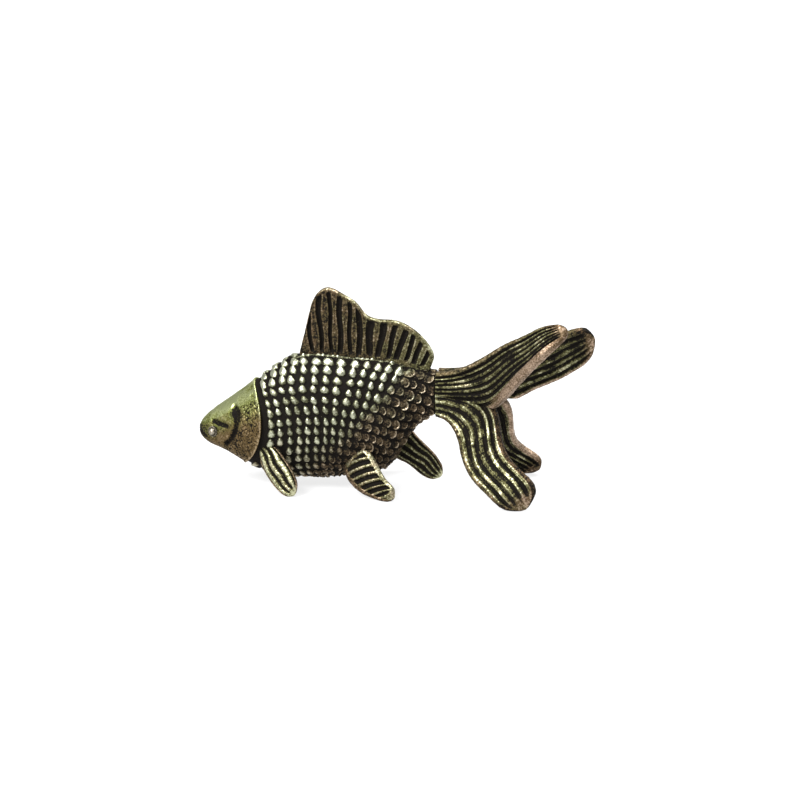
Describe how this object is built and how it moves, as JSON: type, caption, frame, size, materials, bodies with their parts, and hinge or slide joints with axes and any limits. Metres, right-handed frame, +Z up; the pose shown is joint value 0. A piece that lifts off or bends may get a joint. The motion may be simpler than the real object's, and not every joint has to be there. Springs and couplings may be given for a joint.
{
  "type": "fish figurine",
  "caption": "Small standing goldfish ornament in antique brass, with a scaled body, ribbed fins and a splayed double tail.",
  "frame": {"origin": "on the ground, under the middle of the fish's overall box", "axes": "+X from the nose to the tail, +Z up, -Y to the fish's left"},
  "size_m": [0.048, 0.0168, 0.0244],
  "materials": {
    "scaled_brass": "antique brass with raised bright scales and black-brown patina between them",
    "rubbed_brass": "antique brass, forehead rubbed bright, cheeks stippled and brown",
    "fin_brass": "antique brass with bright ribs and dark grooves",
    "eye_brass": "antique brass bead with a dark ring round it"
  },
  "bodies": {
    "root": {"trunk": "scaled_brass", "head": "rubbed_brass", "left_eye": "eye_brass", "right_eye": "eye_brass", "dorsal_fin": "fin_brass", "left_pectoral_fin": "fin_brass", "right_pectoral_fin": "fin_brass", "left_pelvic_fin": "fin_brass", "right_pelvic_fin": "fin_brass", "anal_fin": "fin_brass", "upper_left_tail_lobe": "fin_brass", "upper_right_tail_lobe": "fin_brass", "lower_left_tail_lobe": "fin_brass", "lower_right_tail_lobe": "fin_brass"}
  },
  "joints": []
}
